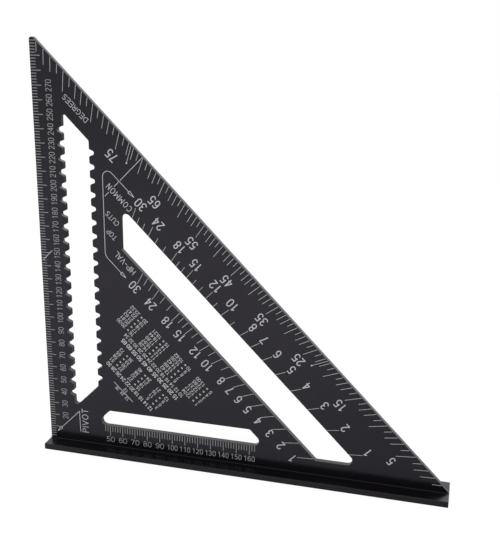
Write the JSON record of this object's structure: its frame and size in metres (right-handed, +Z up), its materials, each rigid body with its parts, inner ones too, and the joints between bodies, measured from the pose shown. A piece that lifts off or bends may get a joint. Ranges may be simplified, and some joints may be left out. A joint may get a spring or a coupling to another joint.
{
  "type": "rafter square",
  "caption": "Black triangular rafter square: a slotted, graduated blade standing in a grooved fence, for marking angles and lines on boards.",
  "frame": {"origin": "middle of the fence's underside, below the blade's middle plane", "axes": "+X along the fence from the right-angled pivot corner to the acute corner, +Y from the blade's pictured face to its back, +Z up the blade's upright edge"},
  "size_m": [0.3048, 0.0276, 0.3069],
  "materials": {
    "blade": "satin black anodised, pale laser-marked scales",
    "fence": "satin black anodised",
    "screw": "black oxide"
  },
  "bodies": {
    "root": {"blade": "blade", "fence": "fence", "screw_1": "screw", "screw_2": "screw", "screw_3": "screw", "screw_4": "screw", "screw_5": "screw", "screw_6": "screw"}
  },
  "joints": []
}
